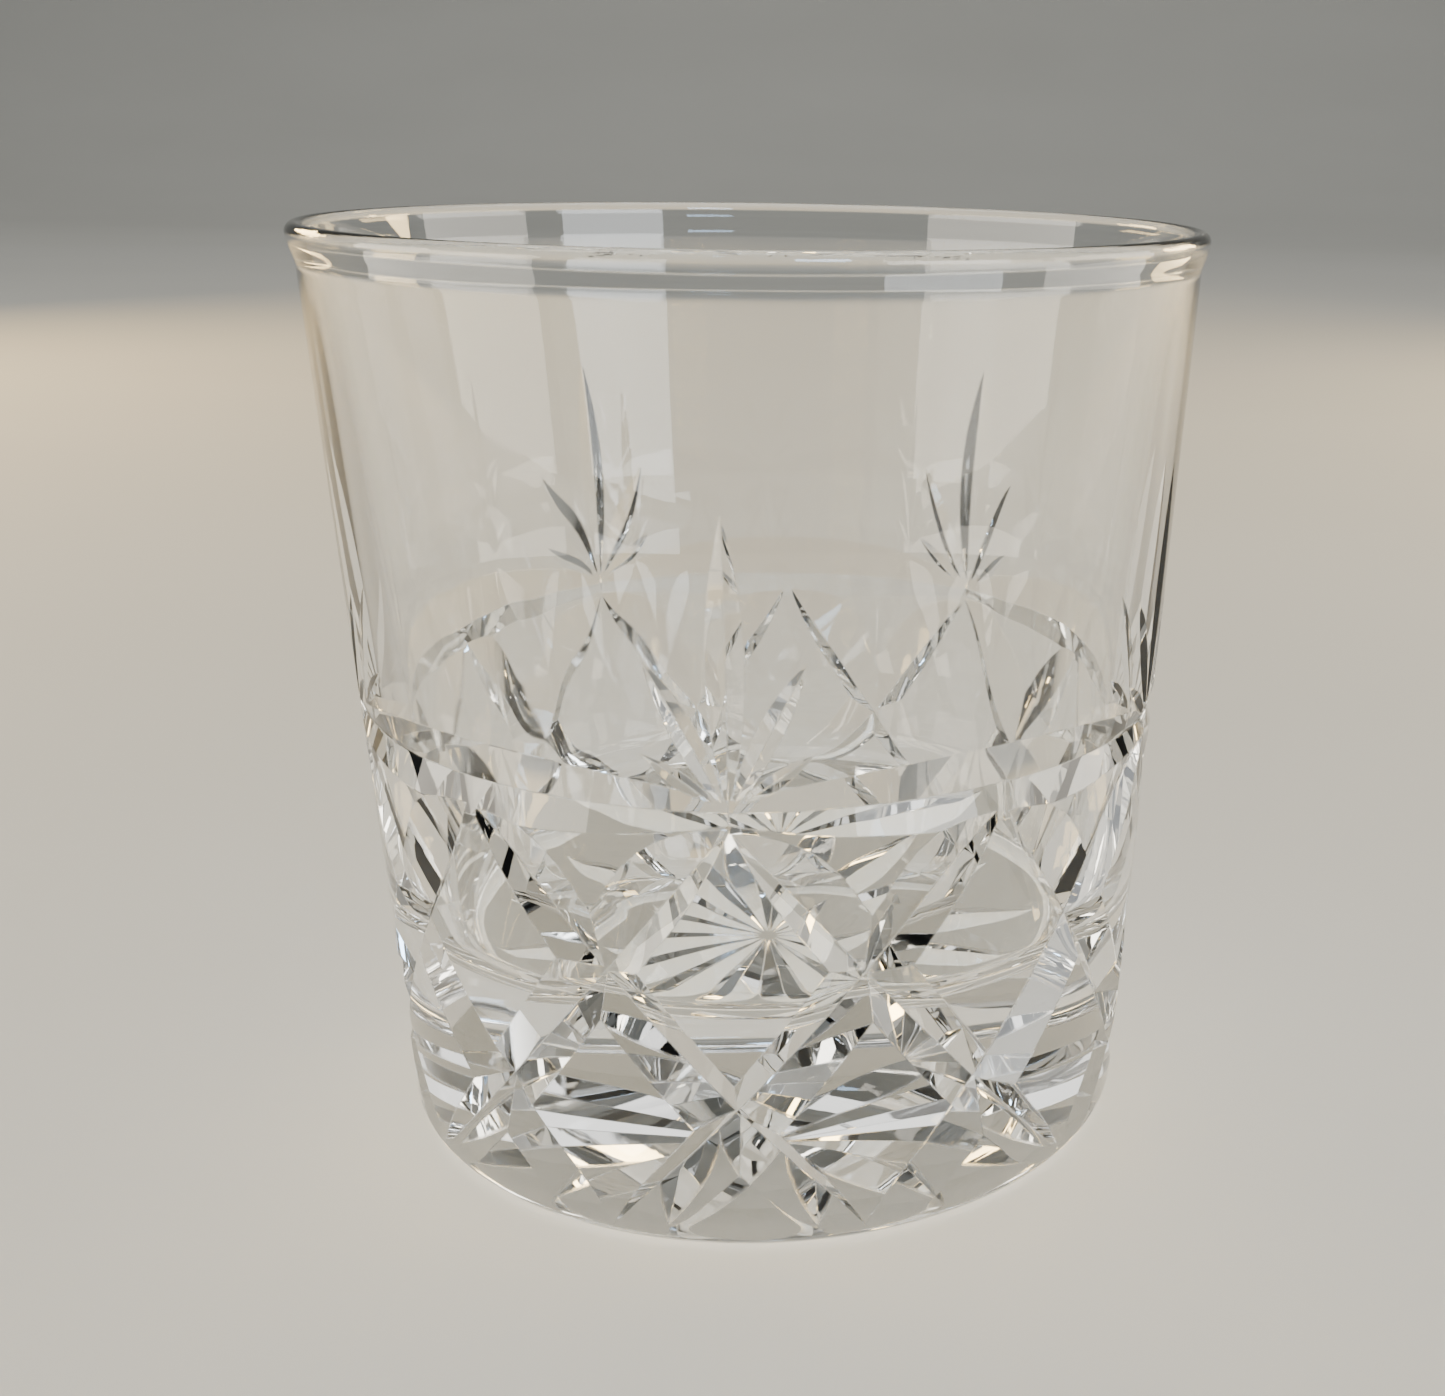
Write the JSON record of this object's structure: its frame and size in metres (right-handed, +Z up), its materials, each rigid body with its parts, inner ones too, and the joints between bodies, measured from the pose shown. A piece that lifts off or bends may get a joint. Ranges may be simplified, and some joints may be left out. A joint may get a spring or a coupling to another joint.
{
  "type": "whiskey tumbler",
  "caption": "Straight-sided cut crystal whiskey tumbler with a thick star-cut base, a band of crossed diamond cuts, a ring cut and fans of rays under a plain wall.",
  "frame": {"origin": "centre of the face that the tumbler stands on", "axes": "+Z up along the axis of the glass, through the middle of the mouth; -Y through the middle of one fan of rays"},
  "size_m": [0.084, 0.084, 0.0876],
  "materials": {
    "crystal": "clear polished cut crystal"
  },
  "bodies": {
    "root": {"tumbler": "crystal"}
  },
  "joints": []
}
